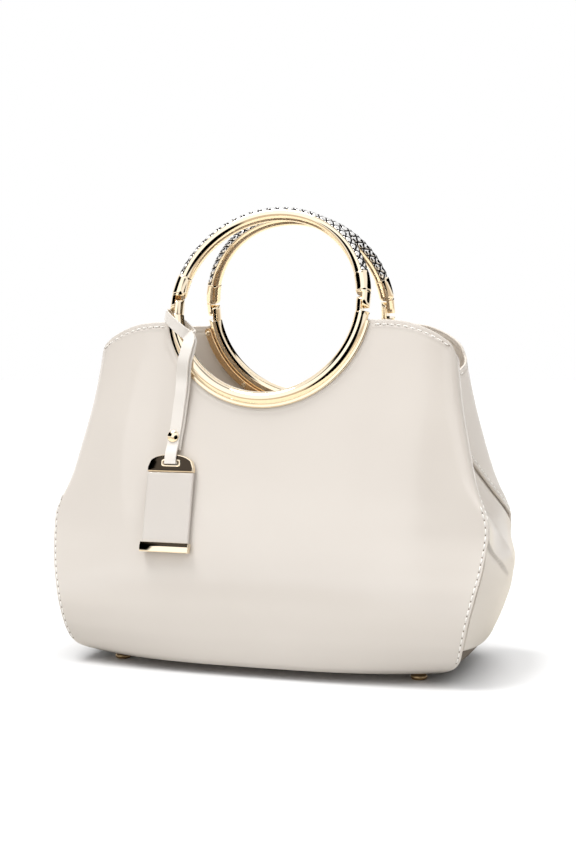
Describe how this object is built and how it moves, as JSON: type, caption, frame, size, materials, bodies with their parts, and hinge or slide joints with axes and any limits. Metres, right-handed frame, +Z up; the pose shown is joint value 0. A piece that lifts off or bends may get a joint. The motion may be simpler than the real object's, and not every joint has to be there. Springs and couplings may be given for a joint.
{
  "type": "patent leather handbag with two folding ring handles",
  "caption": "Ivory patent leather handbag with gold ring handles that fold at two hinges, silver scale sleeves, a hanging tag on a strap, side gussets and metal feet.",
  "frame": {"origin": "on the floor, under the middle of the bag", "axes": "+X to the right of the front face, -Y is the front face with the tag, +Z up"},
  "size_m": [0.3158, 0.1519, 0.3087],
  "materials": {
    "patent_leather": "glossy ivory patent",
    "base_leather": "glossy ivory patent, in shade",
    "strap_leather": "smooth ivory, semi gloss",
    "gold_metal": "polished pale gold plating",
    "silver_scales": "polished silver scale relief with dark gaps"
  },
  "bodies": {
    "bag": {"front_panel": "patent_leather", "back_panel": "patent_leather", "right_gusset": "patent_leather", "left_gusset": "patent_leather", "base_panel": "base_leather", "front_ring_frame": "gold_metal", "back_ring_frame": "gold_metal", "front_ring_clamp": "gold_metal", "back_ring_clamp": "gold_metal", "front_clamp_screw_1": "gold_metal", "front_clamp_screw_2": "gold_metal", "front_clamp_screw_3": "gold_metal", "front_clamp_screw_4": "gold_metal", "back_clamp_screw_1": "gold_metal", "back_clamp_screw_2": "gold_metal", "back_clamp_screw_3": "gold_metal", "back_clamp_screw_4": "gold_metal", "tag_cap": "gold_metal", "tag_plate": "strap_leather", "tag_bar": "gold_metal", "tag_strap": "strap_leather", "tag_rivet": "gold_metal", "foot_1": "gold_metal", "foot_2": "gold_metal", "foot_3": "gold_metal", "foot_4": "gold_metal"},
    "front_handle_arch": {"front_handle": "gold_metal", "front_handle_sleeve": "silver_scales"},
    "back_handle_arch": {"back_handle": "gold_metal", "back_handle_sleeve": "silver_scales"}
  },
  "joints": [
    {"name": "front_handle_hinge", "type": "hinge", "parent": "bag", "child": "front_handle_arch", "pos_m": [0, -0.0345, 0.243], "axis": [1, 0, 0], "range_deg": [0, 95]},
    {"name": "back_handle_hinge", "type": "hinge", "parent": "bag", "child": "back_handle_arch", "pos_m": [0, 0.0345, 0.243], "axis": [-1, 0, 0], "range_deg": [0, 95]}
  ]
}
